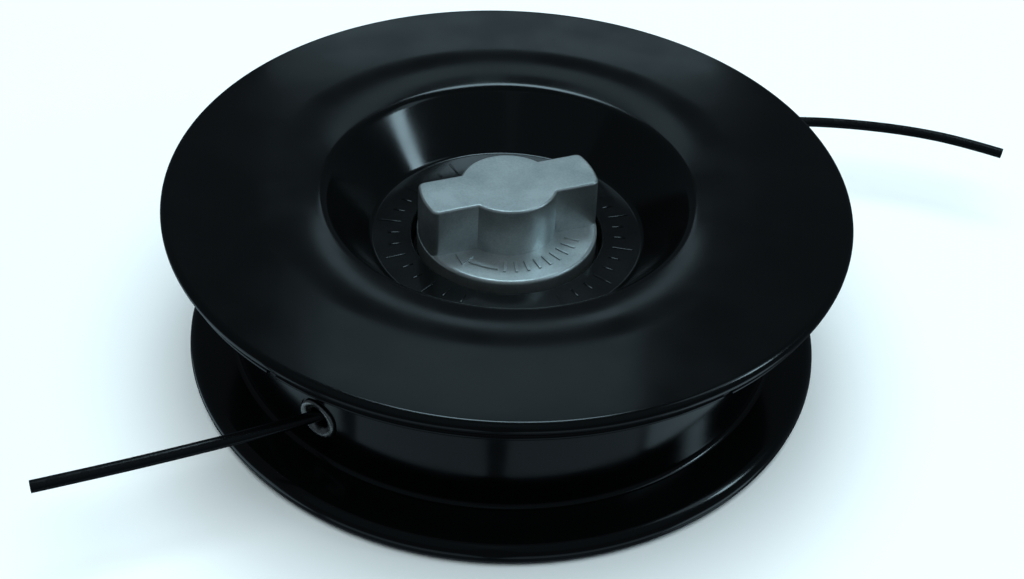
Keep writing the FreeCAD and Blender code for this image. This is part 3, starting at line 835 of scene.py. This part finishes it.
def shapeKnob():
    k = knob
    under = k["underside"]
    discTop = k["discTop"]
    disc = turnedShape([(0, under), (k["radius"], under, k["undersideEdge"]),
                        (k["radius"], discTop, k["rim"]), (0, discTop)], k["discSteps"], closed=False)
    socketAcross, socketDepth = k["socket"]
    socket = hexagonShape(socketAcross, 2 * socketDepth)
    bmesh.ops.translate(socket, vec=(0, 0, under * mm), verts=socket.verts[:])
    roomRadius, roomCover, roomSteps = k["room"]
    room = turnedShape([(0, under - below), (roomRadius, under - below), (roomRadius, k["top"] - roomCover),
                        (0, k["top"] - roomCover)], roomSteps, closed=False)
    inner, outer, depth, reliefSteps = k["relief"]
    relief = turnedShape([(inner, under - below), (outer, under - below), (outer, under + depth),
                          (inner, under + depth)], reliefSteps)
    tools = [("UNION", gripShape())] + [("UNION", mark) for mark in knobMarks()]
    shape = combined(disc, tools + [("DIFFERENCE", cut) for cut in (socket, room, relief)])
    bmesh.ops.rotate(shape, verts=shape.verts[:], cent=(0, 0, 0),
                     matrix=Matrix.Rotation(math.radians(k["angle"]), 3, "Z"))
    finishPiece(shape, "wingKnob", castFinish, "knob", "knob", sharpAngle=30)


shapeKnob()
print("stage: knob")


# pieces kept from the frame

frameFinishes = {
    "spool": nylonFinish,
    "arbor": steelFinish["zincPlate"],
    "arbor_clip": steelFinish["oiledSpringSteel"],
    "release_spring": steelFinish["oiledSpringSteel"],
    "spring_washer": steelFinish["zincPlate"],
    "thrust_washer": steelFinish["zincPlate"],
    "knob_insert": steelFinish["zincPlate"],
}
for node, finish in frameFinishes.items():
    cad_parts[node].data.materials.clear()
    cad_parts[node].data.materials.append(finish)
print("stage: frame finishes")


# studio

studio = {
    "floor": "f4f5f5",
    "floorRoughness": 0.9,
    "floorGloss": 0.1,
    "floorSize": 4,                     # metres, half a side
    "worldTint": (0.66, 0.84, 1.0),
    "ambient": 0.052,
    "overhead": 3.4,
    "overheadTint": (0.82, 0.96, 1.0),
    "overheadAngle": 70,                # degrees, the wider the softer its shadows
    "tint": (0.6, 0.87, 1.0),
    "distance": 1.0,                    # metres from the head to every softbox
    "aimHeight": 0.03,                  # metres
}

# azimuth from +Y towards +X and height above level in degrees, width and height in metres, radiance
softboxes = {
    "backBand": (-1, 29, 0.40, 0.085, 0.62),        # lower of two bands behind the head
    "backBoard": (-2, 46, 0.30, 0.14, 0.46),        # upper band, with a dark gap below it
    "highBox": (0, 66, 0.34, 0.26, 5.2),            # lights the knob's top from behind
    "sideStrip": (98, 31, 0.14, 0.24, 8),           # gives the bowl's sharp streak
    "sideGlow": (97, 48, 0.30, 0.34, 0.7),          # soft light round that streak
    "rightBounce": (97, -46, 0.50, 0.34, 0.5),      # four that stand in for light thrown up by the table
    "leftBounce": (-78, -42, 0.90, 0.40, 0.34),
    "nearRightBounce": (148, -47, 0.70, 0.34, 0.2),
    "nearLeftBounce": (-148, -47, 0.70, 0.34, 0.2),
    "frontLeftBoard": (-147, 36, 1.02, 1.2, 0.03),  # two dim boards that fill the bowl's far wall
    "frontRightBoard": (147, 36, 1.02, 1.2, 0.03),
}


def aimedLight(name, values):
    azimuth, height, width, tall, radiance = values
    az, el = math.radians(azimuth), math.radians(height)
    outward = Vector((math.sin(az) * math.cos(el), math.cos(az) * math.cos(el), math.sin(el)))
    data = bpy.data.lights.new(name, "AREA")
    data.shape = "RECTANGLE"
    data.size = width
    data.size_y = tall
    data.energy = radiance * math.pi * width * tall
    data.color = studio["tint"]
    light = bpy.data.objects.new(name, data)
    place = outward * studio["distance"] + Vector((0, 0, studio["aimHeight"]))
    turn = outward.to_track_quat("Z", "Y").to_matrix().to_4x4()
    light.matrix_world = Matrix.Translation(place) @ turn
    bpy.context.scene.collection.objects.link(light)


for name, values in softboxes.items():
    aimedLight(name, values)

sun = bpy.data.lights.new("overheadDiffuser", "SUN")
sun.energy = studio["overhead"]
sun.color = studio["overheadTint"]
sun.angle = math.radians(studio["overheadAngle"])
sunLamp = bpy.data.objects.new("overheadDiffuser", sun)
sunLamp.visible_glossy = False      # so the gloss shows the softboxes only
bpy.context.scene.collection.objects.link(sunLamp)

floorShape = bmesh.new()
bmesh.ops.create_grid(floorShape, x_segments=1, y_segments=1, size=studio["floorSize"])
floorMesh = bpy.data.meshes.new("studioFloor")
floorShape.to_mesh(floorMesh)
floorShape.free()
floor = bpy.data.objects.new("studioFloor", floorMesh)
bpy.context.scene.collection.objects.link(floor)
floorMaterial = startMaterial("studioFloor", {
    "Base Color": linear(studio["floor"]), "Roughness": studio["floorRoughness"],
    "Specular IOR Level": studio["floorGloss"]})[0]
floorMesh.materials.append(floorMaterial)
floor.visible_glossy = False
floor.visible_diffuse = False
floor.visible_shadow = False        # the bounce lights stand below it

world = bpy.data.worlds.new("studioWorld")
bpy.context.scene.world = world
world.use_nodes = True
background = world.node_tree.nodes["Background"]
background.inputs["Color"].default_value = (*studio["worldTint"], 1)
background.inputs["Strength"].default_value = studio["ambient"]
bpy.context.scene.view_settings.view_transform = "Standard"
print("stage: studio")
